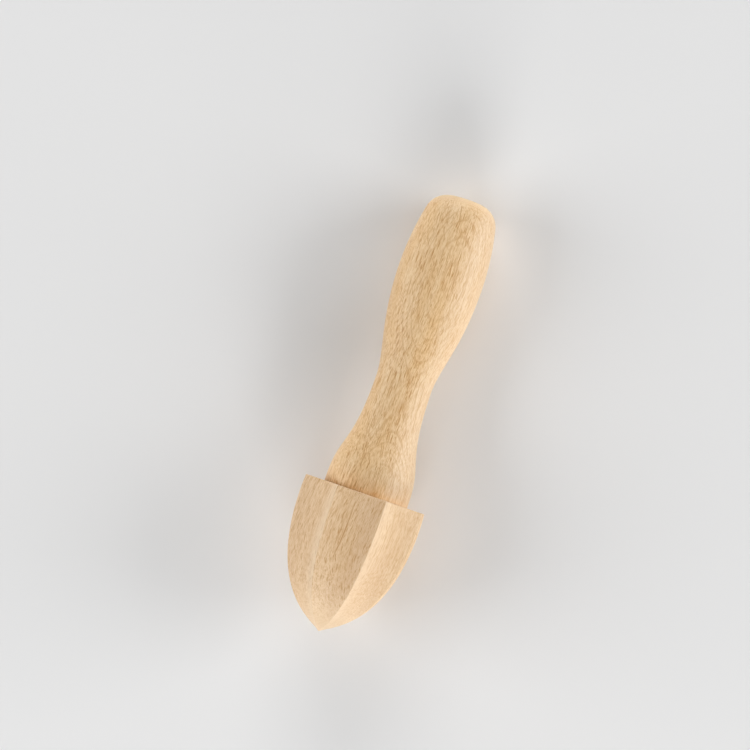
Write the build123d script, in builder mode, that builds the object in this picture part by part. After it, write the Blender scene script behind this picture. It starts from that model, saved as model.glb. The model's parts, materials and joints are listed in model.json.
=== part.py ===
from build123d import *
import os
from math import acos, atan2, cos, degrees, hypot, pi, radians, sin, sqrt

# Wooden citrus reamer, lying on a table, in millimetres.
# It rests on two ridges of the head and on the swell of the grip, with the tip towards -X.
# A place is a distance along the tool's own axis, from the tip towards the butt.

# Head: slightly hollow facets that meet in ridges and curve in to a blunt point, with a flat back
facet_count = 8
facet_hollow_radius = 26.0
head_length = 44.3
crest_distance = 5.0  # from the head's widest place to its back
crest_apothem = 19.08  # from the axis to a straight line from ridge to ridge
back_arc_radius = 50.0  # draws the ridges in behind the crest
back_edge_break = 0.4
tip_apothem = 0.3
tip_half_angle = 49.0
tip_pull_share = 0.09  # how far the outline keeps the tip's slope, as a share of the crest's place
crest_pull_share = 0.82  # the same for the level run before the crest
flank_shares = (0, 0.03, 0.08, 0.15, 0.25, 0.38, 0.52, 0.66, 0.8, 0.91, 1)  # where its sections stand
back_shares = (0.35, 0.7, 1)

# Handle: turned, with a straight foot, a waist, a swelling grip and a domed butt
grip_length = 95.7  # what stands out behind the head
foot_radius = 13.4
foot_length = 2.3
waist_radius = 8.9
waist_distance = 35.8  # from the head's back
swell_radius = 13.4
swell_distance = 70.5  # from the head's back
grip_arc_radius = 89.0  # the long round from the swell to the butt
butt_dome_height = 0.8
butt_corner_radius = 7.2
foot_pull_share = 0.365  # level runs at the two ends of each hollow, as shares of its length
waist_front_pull_share = 0.677
waist_back_pull_share = 0.214
swell_pull_share = 0.52

# Joint: the foot stands in a shallow seat, and a fluted dowel runs into two blind bores
seat_depth = 1.2
seat_clearance = 0.05
dowel_radius = 5.0
dowel_length = 40.0
dowel_clearance = 0.05
dowel_end_gap = 0.8
dowel_chamfer = 1.0
flute_count = 16
flute_radius = 0.45

# Places along the axis
tool_length = head_length + grip_length
crest_place = head_length - crest_distance
foot_end = head_length - seat_depth
flare_place = head_length + foot_length
waist_place = head_length + waist_distance
swell_place = head_length + swell_distance
butt_edge_place = tool_length - butt_dome_height
dowel_start = foot_end - dowel_length / 2

# Butt: the long round of the grip meets a dome that is centred on the axis
grip_arc_centre = swell_radius - grip_arc_radius
butt_edge_radius = grip_arc_centre + sqrt(grip_arc_radius**2 - (butt_edge_place - swell_place) ** 2)
butt_dome_radius = (butt_edge_radius**2 + butt_dome_height**2) / (2 * butt_dome_height)

# Head's back: the ridges have drawn in a little where they meet it
back_arc_centre = crest_apothem - back_arc_radius
back_apothem = back_arc_centre + sqrt(back_arc_radius**2 - crest_distance**2)

# Lying pose: one straight line touches the arc behind the crest and the long round of the grip
centre_run = swell_place - crest_place
centre_drop = back_arc_centre - grip_arc_centre
contact_angle = acos((grip_arc_radius - back_arc_radius) / hypot(centre_run, centre_drop))
tilt = contact_angle - atan2(centre_run, centre_drop)
tip_height = crest_place * sin(tilt) + back_arc_centre * cos(tilt) + back_arc_radius

# The origin is on the table, under the middle of the tool's overall length
butt_reach = (tool_length - butt_dome_radius) * cos(tilt) + butt_dome_radius
tip_reach = tip_apothem * sin(tilt)
tip_offset = (tip_reach - butt_reach) / 2
axis_direction = (cos(tilt), 0, -sin(tilt))


def axis_point(place):
    """The point of the tool's axis at the given place."""
    return (tip_offset + place * cos(tilt), 0, tip_height - place * sin(tilt))


def cross_plane(place):
    """A plane square to the tool's axis at the given place, facing the butt, with its Y upwards."""
    return Plane(origin=axis_point(place), x_dir=(0, 1, 0), z_dir=axis_direction)


# Reaming head: hollow-sided sections whose corners run along the ridges
facet_angle = 2 * pi / facet_count
bore_depth = dowel_length / 2 + dowel_end_gap
slope = radians(tip_half_angle)
tip = Vector(0, tip_apothem)
tip_pull = Vector(cos(slope), sin(slope)) * crest_place * tip_pull_share
crest = Vector(crest_place, crest_apothem)
crest_pull = Vector(crest_place * crest_pull_share, 0)
flank = Bezier(tip, tip + tip_pull, crest - crest_pull, crest)
back = RadiusArc(crest, (head_length, back_apothem), back_arc_radius)
stations = [flank @ share for share in flank_shares] + [back @ share for share in back_shares]

with BuildPart() as reamer_head:
    for station in stations:
        ridge_radius = station.Y / cos(facet_angle / 2)
        angles = [facet_angle * (ridge + 0.5) for ridge in range(facet_count)]
        corners = [Vector(cos(angle), sin(angle)) * ridge_radius for angle in angles]
        with BuildSketch(cross_plane(station.X)):
            with BuildLine():
                for corner, following in zip(corners, corners[1:] + corners[:1]):
                    RadiusArc(corner, following, facet_hollow_radius)
            make_face()
    loft()
    back_face = reamer_head.faces().sort_by(Axis(axis_point(0), axis_direction))[-1]
    fillet(back_face.edges(), radius=back_edge_break)
    with Locations(cross_plane(head_length)):
        CounterBoreHole(
            radius=dowel_radius + dowel_clearance,
            counter_bore_radius=foot_radius + seat_clearance,
            counter_bore_depth=seat_depth,
            depth=seat_depth + bore_depth,
        )
reamer_head.part.label = "reamer_head"

# Handle: one outline turned about the tool's axis, bored at its foot
axis_plane = Plane(origin=axis_point(0), x_dir=axis_direction, z_dir=(0, -1, 0))
flare = Vector(flare_place, foot_radius)
waist = Vector(waist_place, waist_radius)
swell = Vector(swell_place, swell_radius)
butt_edge = Vector(butt_edge_place, butt_edge_radius)
front_run = Vector(waist_place - flare_place, 0)
foot_pull = front_run * foot_pull_share
waist_front_pull = front_run * waist_front_pull_share
back_run = Vector(swell_place - waist_place, 0)
waist_back_pull = back_run * waist_back_pull_share
swell_pull = back_run * swell_pull_share

with BuildPart() as handle:
    with BuildSketch(axis_plane) as turning:
        with BuildLine():
            Polyline((tool_length, 0), (foot_end, 0), (foot_end, foot_radius), flare)
            Bezier(flare, flare + foot_pull, waist - waist_front_pull, waist)
            Bezier(waist, waist + waist_back_pull, swell - swell_pull, swell)
            RadiusArc(swell, butt_edge, grip_arc_radius)
            RadiusArc(butt_edge, (tool_length, 0), butt_dome_radius)
        make_face()
        fillet(turning.vertices().sort_by_distance(butt_edge)[0], radius=butt_corner_radius)
    revolve(axis=Axis(axis_point(0), axis_direction))
    with Locations(-cross_plane(foot_end)):
        Hole(radius=dowel_radius + dowel_clearance, depth=bore_depth)
handle.part.label = "handle"

# Joint dowel: a round pin with chamfered ends and fine flutes for the glue
with BuildPart() as joint_dowel:
    with BuildSketch(cross_plane(dowel_start)):
        Circle(dowel_radius)
    extrude(amount=dowel_length)
    chamfer(joint_dowel.edges().filter_by(GeomType.CIRCLE), length=dowel_chamfer)
    with BuildSketch(cross_plane(dowel_start)):
        with PolarLocations(dowel_radius, flute_count):
            Circle(flute_radius)
    extrude(amount=dowel_length, mode=Mode.SUBTRACT)
joint_dowel.part.label = "joint_dowel"

os.makedirs("parts", exist_ok=True)
for piece in (reamer_head, handle, joint_dowel):
    export_step(piece.part, f"parts/{piece.part.label}.step")

print(f"The axis leans {degrees(tilt):.4f} degrees")
print("The head's back is centred at", axis_point(head_length))
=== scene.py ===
import json
import math

import bmesh
import bpy
from mathutils import Matrix, Vector, noise
from mathutils.geometry import interpolate_bezier, intersect_sphere_sphere_2d


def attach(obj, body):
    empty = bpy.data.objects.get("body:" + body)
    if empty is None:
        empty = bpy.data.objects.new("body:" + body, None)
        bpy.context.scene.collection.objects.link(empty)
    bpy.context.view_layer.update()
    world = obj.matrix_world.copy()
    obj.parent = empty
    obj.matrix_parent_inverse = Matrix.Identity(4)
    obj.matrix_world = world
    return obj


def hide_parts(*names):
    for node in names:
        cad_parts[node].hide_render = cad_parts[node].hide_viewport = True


# Wooden citrus reamer lying on a pale table, seen from above

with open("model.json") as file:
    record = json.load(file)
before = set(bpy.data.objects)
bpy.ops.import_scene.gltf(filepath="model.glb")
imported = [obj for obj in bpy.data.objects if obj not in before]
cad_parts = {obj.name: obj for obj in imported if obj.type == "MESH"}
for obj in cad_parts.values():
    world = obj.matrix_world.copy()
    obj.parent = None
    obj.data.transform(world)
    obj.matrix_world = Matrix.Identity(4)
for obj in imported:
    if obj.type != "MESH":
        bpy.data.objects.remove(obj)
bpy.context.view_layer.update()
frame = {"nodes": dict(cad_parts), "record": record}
mm = 0.001
hair = 0.001 * mm  # what is closer together than this is one place

# the tool's own axis, from the mount in the middle of the head's back
shoulder = frame["record"]["mounts"][0]
axisDir = Vector(shoulder["axis"]).normalized()  # from the tip towards the butt
sideDir = Vector((0, 1, 0))
upDir = axisDir.cross(sideDir)

headShape = {
    "length": 44.3 * mm,
    "crestPlace": 39.3 * mm,  # places run along the axis from the tip
    "crestApothem": 19.08 * mm,  # out to the straight line from ridge to ridge
    "facets": 8,
    "hollowRound": 26 * mm,
    "noseRound": 0.5 * mm,
    "noseSteps": 4,
    "tipSlope": math.radians(49),
    "tipPullShare": 0.09,  # shares of the crest's place
    "crestPullShare": 0.82,
    "flankPoints": 60,
    "backRound": 50 * mm,
    "backSteps": 6,
    "rimRound": 0.4 * mm,
    "rimSteps": 5,
    "columns": 24,  # across each facet
    "ridgeShares": (30, 35, 85, 60, 30, 45, 50, 40),  # softness of each ridge, percent of a column
    "ridgeSteps": 3,
    "ridgeStart": 0.5 * mm,  # no softening closer to the axis
    "seatDepth": 1.2 * mm,
    "seatRadius": 13.45 * mm,
    "boreRadius": 5.05 * mm,
    "boreDepth": 20.8 * mm,
    "uneven": 0.06 * mm,
    "unevenSize": 7 * mm,
    # paler marks on the head: the ridges partly from sanding and partly a painted highlight, a
    # painted highlight on the flanks, painted light at the tip
    "ridgeWearAndHighlight": 0.4,
    "ridgeReach": 0.7 * mm,
    "flankHighlight": 1.0,  # painted highlight beside the upper facet
    "flankReach": 4.6 * mm,
    "tipLight": 0.8,
    "tipReach": 20 * mm,
    "ringSide": math.radians(-50),  # where the rings face, from the upper side to the camera's right
}

toolTip = Vector(shoulder["pos_m"]) - axisDir * headShape["length"]
# tool space: x is the place along the axis, y the side, z the upper side
toolMatrix = Matrix((axisDir, sideDir, upDir)).transposed().to_4x4()
toolMatrix.translation = toolTip


def arcPoints(centre, radius, startAngle, endAngle, count):
    turn = (endAngle - startAngle) / count
    angles = [startAngle + turn * step for step in range(count + 1)]
    return [centre + radius * Vector((math.cos(a), 0, math.sin(a))) for a in angles]


def angleFrom(centre, point):
    return math.atan2(point.z - centre.z, point.x - centre.x)


def spinOutline(mesh, points, steps):
    # the outline lies in the upright plane through the axis
    verts = [mesh.verts.new(point) for point in points]
    for first, second in zip(verts, verts[1:]):
        mesh.edges.new((first, second))
    bmesh.ops.spin(
        mesh, geom=mesh.verts[:] + mesh.edges[:], cent=(0, 0, 0), axis=(1, 0, 0), dvec=(0, 0, 0),
        angle=2 * math.pi, steps=steps, use_merge=True, use_duplicate=False,
    )
    bmesh.ops.remove_doubles(mesh, verts=mesh.verts, dist=hair)


def radiusOf(vert):
    return math.hypot(vert.co.y, vert.co.z)


def setRadius(vert, radius):
    share = radius / radiusOf(vert)
    vert.co.y *= share
    vert.co.z *= share


def turnAbout(vert):
    # round the axis, from the upper side
    return math.atan2(vert.co.y, vert.co.z)


def makeUneven(mesh, shape):
    # hand sanding leaves a faint swell and dip, always inwards
    bmesh.ops.recalc_face_normals(mesh, faces=mesh.faces)
    mesh.normal_update()
    for vert in mesh.verts:
        swell = 0.5 + 0.5 * noise.noise(vert.co / shape["unevenSize"])
        vert.co -= vert.normal * swell * shape["uneven"]


def noWearNorLight(vert):
    return 0.0


sharpAngle = math.radians(50)


def finishPiece(mesh, name, node, material, ringSide, wearAndLight=noWearNorLight):
    bmesh.ops.recalc_face_normals(mesh, faces=mesh.faces)
    mesh.normal_update()
    # how far each spot shows end grain, how far it is sawn flat to the rings, and how much sanding
    # and painted light make it paler
    endGrain = mesh.verts.layers.float.new("endGrain")
    flatSawn = mesh.verts.layers.float.new("flatSawn")
    wornAndLit = mesh.verts.layers.float.new("wornAndLit")
    outward = Vector((0, -math.sin(ringSide), math.cos(ringSide)))
    for vert in mesh.verts:
        vert[endGrain] = abs(vert.normal.x)
        vert[flatSawn] = abs(vert.normal.dot(outward))
        vert[wornAndLit] = wearAndLight(vert)
    mesh.transform(toolMatrix)
    for face in mesh.faces:
        face.smooth = True
    data = bpy.data.meshes.new(name)
    mesh.to_mesh(data)
    mesh.free()
    data.set_sharp_from_angle(angle=sharpAngle)
    piece = bpy.data.objects.new(name, data)
    bpy.context.scene.collection.objects.link(piece)
    data.materials.append(material)
    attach(piece, "root")
    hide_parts(node)
    print(name, "has", len(data.polygons), "faces")


def addNode(tree, kind, inputs=None, **settings):
    made = tree.nodes.new("ShaderNode" + kind)
    for name, value in settings.items():
        setattr(made, name, value)
    for socket, value in (inputs or {}).items():
        if isinstance(value, bpy.types.NodeSocket):
            tree.links.new(value, made.inputs[socket])
        else:
            made.inputs[socket].default_value = value
    return made


def calc(tree, operation, first, second=0.0):
    return addNode(tree, "Math", {0: first, 1: second}, operation=operation).outputs[0]


def times(tree, product, *factors):
    for factor in factors:
        product = calc(tree, "MULTIPLY", product, factor)
    return product


def awayFrom(tree, value, middle):
    return calc(tree, "ABSOLUTE", calc(tree, "SUBTRACT", value, middle))


def scaleVector(tree, vector, factors):
    return addNode(tree, "VectorMath", {0: vector, 1: factors}, operation="MULTIPLY").outputs[0]


def addVectors(tree, first, second):
    return addNode(tree, "VectorMath", {0: first, 1: second}, operation="ADD").outputs[0]


def remap(tree, value, low, high, toLow=0.0, toHigh=1.0):
    inputs = {"Value": value, "From Min": low, "From Max": high, "To Min": toLow, "To Max": toHigh}
    return addNode(tree, "MapRange", inputs, interpolation_type="SMOOTHSTEP").outputs[0]


def mixColour(tree, share, first, second):
    return addNode(tree, "Mix", {0: share, 6: first, 7: second}, data_type="RGBA").outputs[2]


def attribute(tree, name):
    return addNode(tree, "Attribute", attribute_name=name).outputs["Fac"]


def grainNoise(tree, grain, sizes, detail=2.0, roughness=0.5, distortion=0.0):
    # noise drawn out by the sizes, in mm: out from the pith, along the rings, along the grain
    inputs = {
        "Vector": scaleVector(tree, grain, [1 / size for size in sizes]),
        "Scale": 1.0,
        "Detail": detail,
        "Roughness": roughness,
        "Distortion": distortion,
    }
    return addNode(tree, "TexNoise", inputs)


def sway(tree, grain, sizes, amounts):
    # the grain wanders sideways
    wander = grainNoise(tree, grain, sizes).outputs["Color"]
    wander = addVectors(tree, wander, (-0.5, -0.5, -0.5))
    return addVectors(tree, grain, scaleVector(tree, wander, amounts))


# what every piece of beech shares, with sizes in mm
# a pair runs from nothing to full, and two more numbers after it are its own ends
beech = {
    "longSwaySizes": (16, 12, 45),
    "shortSwaySizes": (4, 2.5, 5),
    "widthPace": 0.31,  # how fast the widths of the years change
    "widthSwing": 1.7,
    "lateSeason": (0.25, 0.88),
    "lineSeason": (0.7, 0.88),
    "seasonEnd": (1.0, 0.92),
    "weakYear": 0.3,
    "patchSizes": (3, 4, 12),
    "latePatches": (0.35, 0.65, 0.1, 1.0),
    "linePatches": (0.35, 0.55, 0.2, 1.0),
    "darkRingReach": (1.2, 0.7),
    "darkRingPlaces": (20.0, 28.0),
    "fibreDetail": 0.6,
    "rayDetail": 0.55,
    "raySoftness": 0.06,
    "fineRayShare": 0.8,
    "rayFlatSawn": (0.1, 0.7),
    "rayEndGrain": (0.95, 0.6),
    "rayStreaks": (0.42, 0.56, 0.3, 1.0),
    # painted light: fainter dashes on the side towards the right lamp
    "rayLitSide": (0.0, 1.0, 1.0, 0.35),
    "fleckDistortion": 0.4,
    "fleckLevel": 0.08,
    "fleckWidth": (0.05, 0.015),
    "fleckFlatSawn": (0.5, 0.3),
    "fleckEndGrain": (0.6, 0.3),
    "driftRange": (0.32, 0.68),
    "blushRange": (0.5, 0.7),
    "streakRange": (0.44, 0.62),
    "fibreRange": (0.42, 0.7),
    "roughFibres": (0.3, 0.7),
    "smootherBy": 0.05,
    "rougherBy": 0.07,
    "dashGloss": -0.08,
    "fibreRelief": 0.6,
    "lateRelief": 0.3,
    "dashRelief": 0.8,
}


def woodGrain(tree, look, ringSide):
    # the wood's own directions, in mm: x out from the pith, y along the rings, z along the grain
    outward = upDir * math.cos(ringSide) - sideDir * math.sin(ringSide)
    lean = look["grainLean"]
    along = axisDir * math.cos(lean) + axisDir.cross(outward) * math.sin(lean)
    turn = Matrix((outward, along.cross(outward), along))
    inputs = {
        "Vector": addNode(tree, "TexCoord").outputs["Object"],
        "Location": -(turn @ toolTip) / mm,
        "Rotation": turn.to_euler(),
        "Scale": (1 / mm, 1 / mm, 1 / mm),
    }
    grain = addNode(tree, "Mapping", inputs).outputs[0]
    grain = sway(tree, grain, beech["longSwaySizes"], look["longSway"])
    return sway(tree, grain, beech["shortSwaySizes"], look["shortSway"])


def growthRings(tree, look, grain, place):
    # rings about a far pith, wide and narrow years in turn, some of them darker
    flat = addVectors(tree, scaleVector(tree, grain, (1, 1, 0)), (look["pithDepth"], 0, 0))
    fromPith = addNode(tree, "VectorMath", {0: flat}, operation="LENGTH").outputs["Value"]
    years = calc(tree, "DIVIDE", fromPith, look["ringGap"])
    inputs = {"W": times(tree, years, beech["widthPace"]), "Scale": 1.0}
    widths = addNode(tree, "TexNoise", inputs, noise_dimensions="1D").outputs[0]
    years = calc(tree, "ADD", years, times(tree, widths, beech["widthSwing"]))
    season = calc(tree, "FRACT", years)
    seasonEnd = remap(tree, season, *beech["seasonEnd"])
    year = {"W": calc(tree, "FLOOR", years)}
    strong = addNode(tree, "TexWhiteNoise", year, noise_dimensions="1D").outputs["Value"]
    strong = remap(tree, strong, 0.0, 1.0, beech["weakYear"], 1.0)
    patchy = grainNoise(tree, grain, beech["patchSizes"]).outputs[0]
    late = times(tree, remap(tree, season, *beech["lateSeason"]), seasonEnd, strong)
    late = times(tree, late, remap(tree, patchy, *beech["latePatches"]))

    # a thin line ends each year, and one of them is dark
    line = times(tree, remap(tree, season, *beech["lineSeason"]), seasonEnd)
    line = times(tree, line, remap(tree, patchy, *beech["linePatches"]))
    offRing = awayFrom(tree, fromPith, look["darkRing"])
    dark = remap(tree, offRing, *beech["darkRingReach"])
    dark = times(tree, dark, remap(tree, place, *beech["darkRingPlaces"]))
    dark = remap(tree, dark, 0.0, 1.0, look["thinRingStrength"], look["darkRingStrength"])
    return late, times(tree, line, dark)


def rayDashes(tree, look, grain, endGrain, flatSawn):
    # dark dashes where the wood is sawn flat, fewer on the quarter, none on end grain
    edge = (look["rayEdge"], look["rayEdge"] + beech["raySoftness"])
    rays = grainNoise(tree, grain, look["raySizes"], detail=1.0, roughness=beech["rayDetail"])
    rays = remap(tree, rays.outputs[0], *edge)
    fineRays = grainNoise(tree, grain, look["fineRaySizes"], detail=1.0)
    fineRays = remap(tree, fineRays.outputs[0], *edge, 0.0, beech["fineRayShare"])
    shown = remap(tree, flatSawn, *beech["rayFlatSawn"], look["quarterShare"], 1.0)
    shown = times(tree, shown, remap(tree, endGrain, *beech["rayEndGrain"]))
    return times(tree, calc(tree, "MAXIMUM", rays, fineRays), shown)


def curledFlecks(tree, look, grain, endGrain, flatSawn):
    # loops about the noise's hills and dips, on the quarter only
    hills = grainNoise(
        tree, grain, look["fleckSizes"], detail=0.0, distortion=beech["fleckDistortion"]
    )
    curls = awayFrom(tree, awayFrom(tree, hills.outputs[0], 0.5), beech["fleckLevel"])
    curls = remap(tree, curls, *beech["fleckWidth"])
    curls = times(tree, curls, remap(tree, flatSawn, *beech["fleckFlatSawn"]))
    return times(tree, curls, remap(tree, endGrain, *beech["fleckEndGrain"]))


def beechWood(look, ringSide):
    material = bpy.data.materials.new(look["name"])
    material.use_nodes = True
    tree = material.node_tree
    shader = tree.nodes["Principled BSDF"]
    endGrain = attribute(tree, "endGrain")
    flatSawn = attribute(tree, "flatSawn")
    wornAndLit = attribute(tree, "wornAndLit")

    grain = woodGrain(tree, look, ringSide)
    places = addNode(tree, "SeparateXYZ", {0: grain}).outputs
    late, darkLine = growthRings(tree, look, grain, places["Z"])
    fibres = grainNoise(
        tree, grain, look["fibreSizes"], detail=1.0, roughness=beech["fibreDetail"]
    ).outputs[0]
    streaks = grainNoise(tree, grain, look["streakSizes"], detail=1.0).outputs[0]
    curls = curledFlecks(tree, look, grain, endGrain, flatSawn)
    dashes = rayDashes(tree, look, grain, endGrain, flatSawn)
    dashes = times(tree, dashes, remap(tree, streaks, *beech["rayStreaks"]))
    # painted light: the side of the blank at the camera's right, towards the right lamp, is paler,
    # and its dashes are fainter
    litSide = remap(tree, places["Y"], look["litSideFrom"], look["litSideTo"])
    dashes = times(tree, dashes, remap(tree, litSide, *beech["rayLitSide"]))
    # slow drifts of tone, a blush, and the cut ends
    drift = grainNoise(tree, grain, look["driftSizes"], detail=1.0).outputs[0]
    blush = grainNoise(tree, grain, look["blushSizes"], detail=1.0).outputs[0]
    cut = remap(tree, endGrain, look["endFrom"], 1.0)

    # each share of a tone lies over the ones before it
    layers = (
        # painted light on the side towards the right lamp
        (times(tree, litSide, look["litSideStrength"]), "wornAndLitTone"),
        (remap(tree, blush, *beech["blushRange"], 0.0, look["blushStrength"]), "blushTone"),
        (times(tree, late, look["ringStrength"]), "lateTone"),
        (remap(tree, streaks, *beech["streakRange"], 0.0, look["streakStrength"]), "lateTone"),
        (remap(tree, fibres, *beech["fibreRange"], 0.0, look["fibreStrength"]), "lateTone"),
        (times(tree, curls, look["fleckStrength"]), "lateTone"),
        (darkLine, "rayTone"),
        (times(tree, dashes, look["rayStrength"]), "rayTone"),
        (times(tree, cut, look["endStrength"]), "endTone"),
        (times(tree, cut, late, look["endRingStrength"]), "lateTone"),
        # painted highlights on the head's ridges, flanks and tip, the ridges partly from sanding
        (times(tree, wornAndLit, look["wornAndLitStrength"]), "wornAndLitTone"),
    )
    drifted = remap(tree, drift, *beech["driftRange"])
    colour = mixColour(tree, drifted, look["lightTone"], look["midTone"])
    for share, tone in layers:
        colour = mixColour(tree, share, colour, look[tone])
    tree.links.new(colour, shader.inputs["Base Color"])

    smooth = look["roughness"] - beech["smootherBy"]
    rough = remap(tree, fibres, *beech["roughFibres"], smooth, look["roughness"] + beech["rougherBy"])
    rough = calc(tree, "ADD", rough, times(tree, dashes, beech["dashGloss"]))
    tree.links.new(rough, shader.inputs["Roughness"])
    shader.inputs["Sheen Weight"].default_value = look["sheen"]

    relief = times(tree, fibres, beech["fibreRelief"])
    relief = calc(tree, "ADD", relief, times(tree, late, beech["lateRelief"]))
    relief = calc(tree, "SUBTRACT", relief, times(tree, dashes, beech["dashRelief"]))
    inputs = {"Strength": look["bump"], "Distance": look["bumpDepth"], "Height": relief}
    tree.links.new(addNode(tree, "Bump", inputs).outputs[0], shader.inputs["Normal"])
    print("wood", look["name"])
    return material


# sizes in mm: out from the pith, along the rings, along the grain
headWood = {
    "name": "headBeech",
    "pithDepth": 60.0,
    "ringGap": 0.9,
    "darkRing": 73.4,  # from the pith
    "thinRingStrength": 0.1,
    "darkRingStrength": 0.85,
    "grainLean": math.radians(4),
    "longSway": (0.9, 0.6, 0.0),
    "shortSway": (0.15, 0.2, 0.0),
    "driftSizes": (6, 4, 40),
    "blushSizes": (16, 12, 30),
    "fibreSizes": (0.3, 0.22, 2.0),
    "streakSizes": (0.7, 0.5, 12.0),
    "raySizes": (1.6, 0.28, 3.0),
    "fineRaySizes": (1.0, 0.2, 2.0),
    "fleckSizes": (8, 2.0, 4.5),
    "lightTone": (0.83, 0.61, 0.385, 1),
    "midTone": (0.77, 0.545, 0.325, 1),
    "lateTone": (0.60, 0.345, 0.14, 1),
    "rayTone": (0.50, 0.25, 0.075, 1),
    "blushTone": (0.66, 0.45, 0.30, 1),
    "endTone": (0.60, 0.42, 0.25, 1),
    # tone of the painted highlights, and of the sanded ridges
    "wornAndLitTone": (0.89, 0.71, 0.50, 1),
    "ringStrength": 0.1,
    "streakStrength": 0.22,
    "fibreStrength": 0.5,
    "rayStrength": 0.8,
    "fleckStrength": 0.0,
    "blushStrength": 0.25,
    "endFrom": 0.5,
    "endStrength": 0.5,
    "endRingStrength": 0.35,
    "wornAndLitStrength": 0.4,
    "rayEdge": 0.59,
    "quarterShare": 0.25,
    "litSideFrom": 30.0,  # along the rings, from the middle
    "litSideTo": 40.0,
    "litSideStrength": 0.0,
    "roughness": 0.56,
    "sheen": 0.15,
    "bump": 0.12,
    "bumpDepth": 0.04 * mm,
}


def headOutline(shape):
    slope = shape["tipSlope"]
    crestPlace = shape["crestPlace"]
    noseRound = shape["noseRound"]
    noseCentre = Vector((noseRound, 0, 0))
    nose = arcPoints(noseCentre, noseRound, math.pi, math.pi / 2 + slope, shape["noseSteps"])
    crest = Vector((crestPlace, 0, shape["crestApothem"]))
    nosePull = Vector((math.cos(slope), 0, math.sin(slope))) * crestPlace * shape["tipPullShare"]
    crestPull = Vector((crestPlace * shape["crestPullShare"], 0, 0))
    flank = interpolate_bezier(
        nose[-1], nose[-1] + nosePull, crest - crestPull, crest, shape["flankPoints"]
    )
    # the round behind the crest runs into the small round of the rim
    backRound = shape["backRound"]
    backCentre = crest - Vector((0, 0, backRound))
    rimRound = shape["rimRound"]
    rimPlace = shape["length"] - rimRound
    rimTurn = math.acos((rimPlace - crestPlace) / (backRound - rimRound))
    rimHeight = backCentre.z + (backRound - rimRound) * math.sin(rimTurn)
    back = arcPoints(backCentre, backRound, math.pi / 2, rimTurn, shape["backSteps"])
    rim = arcPoints(Vector((rimPlace, 0, rimHeight)), rimRound, rimTurn, 0, shape["rimSteps"])
    return nose + flank[1:] + back[1:] + rim[1:]


def hollowFacets(mesh, shape, facetAngle):
    # hollows the facets out of the turned blank, and gives back the ridges between them
    hollowRound = shape["hollowRound"]
    ridges = {}
    for vert in mesh.verts:
        ridgeRadius = radiusOf(vert)
        if ridgeRadius < hair:
            continue
        part = turnAbout(vert) / facetAngle
        turn = (part - round(part)) * facetAngle  # from the middle of the facet
        if math.isclose(abs(turn), facetAngle / 2, rel_tol=0.002):
            ridges.setdefault(math.floor(part) % shape["facets"], set()).add(vert)
        chordRadius = ridgeRadius * math.cos(facetAngle / 2)
        chordHalf = ridgeRadius * math.sin(facetAngle / 2)
        centreRadius = chordRadius + math.sqrt(hollowRound**2 - chordHalf**2)
        reach = math.sqrt(hollowRound**2 - (centreRadius * math.sin(turn)) ** 2)
        setRadius(vert, centreRadius * math.cos(turn) - reach)
    return ridges


def cutBack(mesh, shape):
    # flat back, seat for the handle's foot, and the bore for the dowel
    loop = [edge for edge in mesh.edges if edge.is_boundary]
    steps = (
        (0, shape["seatRadius"]),
        (-shape["seatDepth"], shape["seatRadius"]),
        (0, shape["boreRadius"]),
        (-shape["boreDepth"], shape["boreRadius"]),
    )
    for depth, radius in steps:
        grown = bmesh.ops.extrude_edge_only(mesh, edges=loop)["geom"]
        loop = [item for item in grown if isinstance(item, bmesh.types.BMEdge) and item.is_boundary]
        for item in grown:
            if isinstance(item, bmesh.types.BMVert):
                item.co.x += depth
                setRadius(item, radius)
    bmesh.ops.contextual_create(mesh, geom=loop)


def softenRidges(mesh, shape, ridges):
    # each ridge by its own share
    ridgeStart = shape["ridgeStart"]
    for number, share in enumerate(shape["ridgeShares"]):
        ridge = [
            edge for edge in mesh.edges
            if all(vert in ridges[number] and radiusOf(vert) > ridgeStart for vert in edge.verts)
        ]
        bmesh.ops.bevel(
            mesh, geom=ridge, offset=share, offset_type="PERCENT", segments=shape["ridgeSteps"],
            profile=0.5, affect="EDGES", clamp_overlap=True, material=-1,
        )


def makeHead(shape, wood):
    mesh = bmesh.new()
    facets = shape["facets"]
    facetAngle = 2 * math.pi / facets
    # the blank is turned to the ridges
    toRidge = 1 / math.cos(facetAngle / 2)
    points = [Vector((point.x, 0, point.z * toRidge)) for point in headOutline(shape)]
    spinOutline(mesh, points, facets * shape["columns"])
    ridges = hollowFacets(mesh, shape, facetAngle)
    cutBack(mesh, shape)
    softenRidges(mesh, shape, ridges)
    makeUneven(mesh, shape)

    def wearAndLight(vert):
        # the ridges paler, partly from sanding and partly as a painted highlight; a painted highlight
        # on the flanks beside the upper facet; painted light on the tip, where light from below falls
        part = turnAbout(vert) / facetAngle
        facetRun = facetAngle * radiusOf(vert)
        offRidge = (0.5 - abs(part - round(part))) * facetRun
        offUpper = (abs(part) - 0.5) * facetRun
        ridgeWearAndHighlight = shape["ridgeWearAndHighlight"] * (1 - offRidge / shape["ridgeReach"])
        tipLight = shape["tipLight"] * (1 - vert.co.x / shape["tipReach"])
        flankHighlight = 0
        if offUpper > 0:
            flankHighlight = shape["flankHighlight"] * (1 - offUpper / shape["flankReach"])
        return max(0, ridgeWearAndHighlight, flankHighlight, tipLight)

    ringSide = shape["ringSide"]
    material = beechWood(wood, ringSide)
    finishPiece(mesh, "reamerHead", "reamer_head", material, ringSide, wearAndLight)


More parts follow.
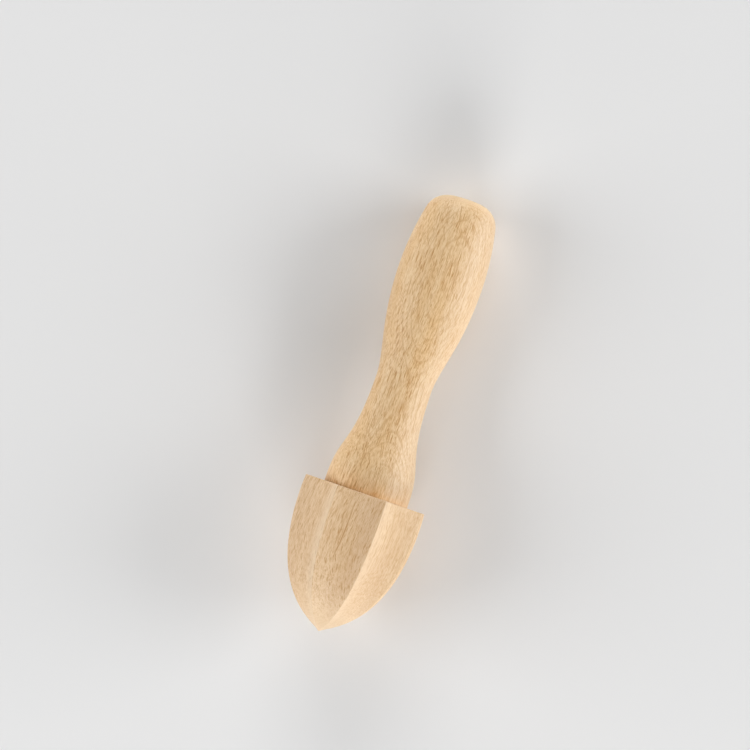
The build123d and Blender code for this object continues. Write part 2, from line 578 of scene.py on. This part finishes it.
handleShape = {
    "footEnd": 43.1 * mm,
    "footRadius": 13.4 * mm,
    "footBreak": 0.25 * mm,
    "flarePlace": 46.6 * mm,
    "waistPlace": 80.1 * mm,
    "waistRadius": 8.9 * mm,
    "swellPlace": 114.8 * mm,
    "swellRadius": 13.4 * mm,
    "gripRound": 89 * mm,
    "length": 140 * mm,
    "domeHeight": 0.8 * mm,
    "cornerRound": 7.2 * mm,
    "footPullShare": 0.365,  # shares of the hollow's two halves
    "waistFrontPullShare": 0.677,
    "waistBackPullShare": 0.214,
    "swellPullShare": 0.52,
    "boreRadius": 5.05 * mm,
    "boreDepth": 20.8 * mm,
    "neckPoints": 40,
    "gripPoints": 36,
    "roundSteps": 24,
    "cornerSteps": 12,
    "domeSteps": 12,
    "turns": 144,
    "uneven": 0.06 * mm,
    "unevenSize": 10 * mm,
    "ringSide": math.radians(15),
}

handleWood = {
    "name": "handleBeech",
    "pithDepth": 70.0,
    "ringGap": 0.85,
    "darkRing": 0.0,
    "thinRingStrength": 0.3,
    "darkRingStrength": 0.0,
    "grainLean": 0.0,
    "longSway": (1.0, 0.8, 0.0),
    "shortSway": (0.3, 0.42, 0.0),
    "driftSizes": (6, 4, 36),
    "blushSizes": (14, 10, 26),
    "fibreSizes": (0.3, 0.22, 2.0),
    "streakSizes": (0.7, 0.5, 10.0),
    "raySizes": (1.6, 0.28, 3.2),
    "fineRaySizes": (1.0, 0.2, 2.0),
    "fleckSizes": (5, 2.0, 3.4),
    "lightTone": (0.87, 0.64, 0.38, 1),
    "midTone": (0.835, 0.585, 0.318, 1),
    "lateTone": (0.64, 0.36, 0.13, 1),
    "rayTone": (0.52, 0.25, 0.065, 1),
    "blushTone": (0.78, 0.53, 0.31, 1),
    "endTone": (0.82, 0.595, 0.35, 1),
    # tone of the painted light on the side towards the right lamp
    "wornAndLitTone": (0.86, 0.67, 0.47, 1),
    "ringStrength": 0.07,
    "streakStrength": 0.2,
    "fibreStrength": 0.5,
    "rayStrength": 0.85,
    "fleckStrength": 0.35,
    "blushStrength": 0.1,
    "endFrom": 0.3,
    "endStrength": 0.6,
    "endRingStrength": 0.35,
    "wornAndLitStrength": 0.0,
    "rayEdge": 0.565,
    "quarterShare": 0.4,
    # painted light: paler from here to there along the rings, on the side towards the right lamp
    "litSideFrom": 0.0,
    "litSideTo": 7.0,
    "litSideStrength": 0.6,
    "roughness": 0.54,
    "sheen": 0.15,
    "bump": 0.12,
    "bumpDepth": 0.04 * mm,
}


def footOutline(shape):
    # the bore and the foot, which stands in the head's seat
    footEnd = shape["footEnd"]
    footBreak = shape["footBreak"]
    boreEnd = footEnd + shape["boreDepth"]
    return [
        Vector((boreEnd, 0, 0)),
        Vector((boreEnd, 0, shape["boreRadius"])),
        Vector((footEnd, 0, shape["boreRadius"])),
        Vector((footEnd, 0, shape["footRadius"] - footBreak)),
        Vector((footEnd + footBreak, 0, shape["footRadius"])),
    ]


def waistOutline(shape, swell):
    flare = Vector((shape["flarePlace"], 0, shape["footRadius"]))
    waist = Vector((shape["waistPlace"], 0, shape["waistRadius"]))
    front = Vector((waist.x - flare.x, 0, 0))
    rear = Vector((swell.x - waist.x, 0, 0))
    flarePull = flare + front * shape["footPullShare"]
    frontPull = waist - front * shape["waistFrontPullShare"]
    rearPull = waist + rear * shape["waistBackPullShare"]
    swellPull = swell - rear * shape["swellPullShare"]
    neck = interpolate_bezier(flare, flarePull, frontPull, waist, shape["neckPoints"])
    grip = interpolate_bezier(waist, rearPull, swellPull, swell, shape["gripPoints"])
    return neck + grip[1:]


def buttOutline(shape, swell):
    # the long round of the grip, a corner round, and a dome centred on the axis
    gripRound = shape["gripRound"]
    domeHeight = shape["domeHeight"]
    cornerRound = shape["cornerRound"]
    gripCentre = swell - Vector((0, 0, gripRound))
    edgePlace = shape["length"] - domeHeight
    edgeRadius = gripCentre.z + math.sqrt(gripRound**2 - (edgePlace - swell.x) ** 2)
    domeRound = (edgeRadius**2 + domeHeight**2) / (2 * domeHeight)
    domeCentre = Vector((shape["length"] - domeRound, 0, 0))
    meeting = intersect_sphere_sphere_2d(
        gripCentre.xz, gripRound - cornerRound, domeCentre.xz, domeRound - cornerRound
    )
    cornerX, cornerZ = max(meeting, key=lambda point: point.y)
    cornerCentre = Vector((cornerX, 0, cornerZ))
    gripTurn = angleFrom(gripCentre, cornerCentre)
    domeTurn = angleFrom(domeCentre, cornerCentre)
    upper = arcPoints(gripCentre, gripRound, math.pi / 2, gripTurn, shape["roundSteps"])
    corner = arcPoints(cornerCentre, cornerRound, gripTurn, domeTurn, shape["cornerSteps"])
    dome = arcPoints(domeCentre, domeRound, domeTurn, 0, shape["domeSteps"])
    return upper + corner[1:] + dome[1:]


def makeHandle(shape, wood):
    mesh = bmesh.new()
    swell = Vector((shape["swellPlace"], 0, shape["swellRadius"]))
    points = footOutline(shape) + waistOutline(shape, swell) + buttOutline(shape, swell)[1:]
    spinOutline(mesh, points, shape["turns"])
    makeUneven(mesh, shape)
    ringSide = shape["ringSide"]
    material = beechWood(wood, ringSide)
    finishPiece(mesh, "turnedHandle", "handle", material, ringSide)


dowelRingSide = math.radians(60)
dowelWood = dict(
    handleWood,
    name="dowelBeech",
    lightTone=(0.66, 0.47, 0.29, 1),
    midTone=(0.60, 0.42, 0.25, 1),
    litSideStrength=0.0,
    endStrength=0.0,
    roughness=0.68,
)


def finishDowel(wood):
    # the dowel keeps its own solid, and only gets its finish
    dowel = frame["nodes"]["joint_dowel"]
    dowel.data.materials.clear()
    dowel.data.materials.append(beechWood(wood, dowelRingSide))
    print("dowel finished")


table = {
    "side": 6.0,
    "colour": (0.82, 0.82, 0.82, 1),
    "roughness": 0.7,
    "specular": 0.0,
}


def makeTable(look):
    mesh = bmesh.new()
    bmesh.ops.create_grid(mesh, x_segments=1, y_segments=1, size=look["side"] / 2)
    data = bpy.data.meshes.new("table")
    mesh.to_mesh(data)
    mesh.free()
    floor = bpy.data.objects.new("table", data)
    bpy.context.scene.collection.objects.link(floor)
    material = bpy.data.materials.new("paleTable")
    material.use_nodes = True
    shader = material.node_tree.nodes["Principled BSDF"]
    shader.inputs["Base Color"].default_value = look["colour"]
    shader.inputs["Roughness"].default_value = look["roughness"]
    shader.inputs["Specular IOR Level"].default_value = look["specular"]
    data.materials.append(material)
    print("table laid")


view = {
    "side": 750,  # pixels of the square picture
    "tipPixel": (318.6, 631.0),
    "buttPixel": (467.6, 199.0),
    "length": 140 * mm,
    "roll": math.radians(4),  # the camera stands a little round the tool, towards its right
    "pitch": math.radians(2),  # and a little towards the tip
    "distance": 1.0,
    "sensor": 36.0,
    "nearest": 0.05,
    "furthest": 50,
}

across = Vector((
    view["buttPixel"][0] - view["tipPixel"][0],
    view["tipPixel"][1] - view["buttPixel"][1],
))
lean = math.atan2(across.y, across.x)
metresPerPixel = view["length"] / across.length
rolled = upDir * math.cos(view["roll"]) - sideDir * math.sin(view["roll"])
# from the tool to the camera
backward = rolled * math.cos(view["pitch"]) - axisDir * math.sin(view["pitch"])
rightOfTool = axisDir.cross(rolled)
alongTool = backward.cross(rightOfTool)
imageRight = alongTool * math.cos(lean) + rightOfTool * math.sin(lean)
imageUp = alongTool * math.sin(lean) - rightOfTool * math.cos(lean)
half = view["side"] / 2
aim = toolTip + metresPerPixel * (
    imageRight * (half - view["tipPixel"][0]) + imageUp * (view["tipPixel"][1] - half)
)


def makeCamera(look):
    data = bpy.data.cameras.new("camera")
    camera = bpy.data.objects.new("camera", data)
    bpy.context.scene.collection.objects.link(camera)
    data.sensor_width = look["sensor"]
    data.lens = look["sensor"] * look["distance"] / (metresPerPixel * look["side"])
    data.clip_start = look["nearest"]
    data.clip_end = look["furthest"]
    turn = Matrix((imageRight, imageUp, backward)).transposed().to_4x4()
    turn.translation = aim + backward * look["distance"]
    camera.matrix_world = turn
    bpy.context.scene.camera = camera
    print("camera lens", round(data.lens, 1))


# soft lamps on the four sides of the picture, and a weak one behind the camera
lamps = {
    "rightLamp": {"right": 0.98, "up": 0.0, "above": 0.37, "width": 0.7, "power": 8.6},
    "leftLamp": {"right": -0.97, "up": 0.0, "above": 0.4, "width": 0.75, "power": 6.9},
    "lowerLamp": {"right": 0.0, "up": -1.01, "above": 0.34, "width": 0.62, "power": 8.7},
    "upperLamp": {"right": 0.0, "up": 1.01, "above": 0.36, "width": 0.66, "power": 6.9},
    "topLamp": {"right": 0.0, "up": 0.0, "above": 1.5, "width": 0.9, "power": 1.6},
}
skyColour = (1, 1, 1, 1)
skyStrength = 0.0


def makeLamps(looks):
    for name, look in looks.items():
        data = bpy.data.lights.new(name, "AREA")
        data.shape = "SQUARE"
        data.size = look["width"]
        data.energy = look["power"]
        lamp = bpy.data.objects.new(name, data)
        bpy.context.scene.collection.objects.link(lamp)
        away = imageRight * look["right"] + imageUp * look["up"] + backward * look["above"]
        lamp.location = aim + away
        lamp.rotation_mode = "QUATERNION"
        lamp.rotation_quaternion = away.to_track_quat("Z", "Y")
        lamp.visible_camera = False
    world = bpy.data.worlds.new("studio")
    world.use_nodes = True
    background = world.node_tree.nodes["Background"]
    background.inputs["Color"].default_value = skyColour
    background.inputs["Strength"].default_value = skyStrength
    bpy.context.scene.world = world
    print(len(looks), "lamps set")


makeHandle(handleShape, handleWood)
makeHead(headShape, headWood)
finishDowel(dowelWood)
makeTable(table)
makeCamera(view)
makeLamps(lamps)
bpy.context.scene.view_settings.view_transform = "Standard"
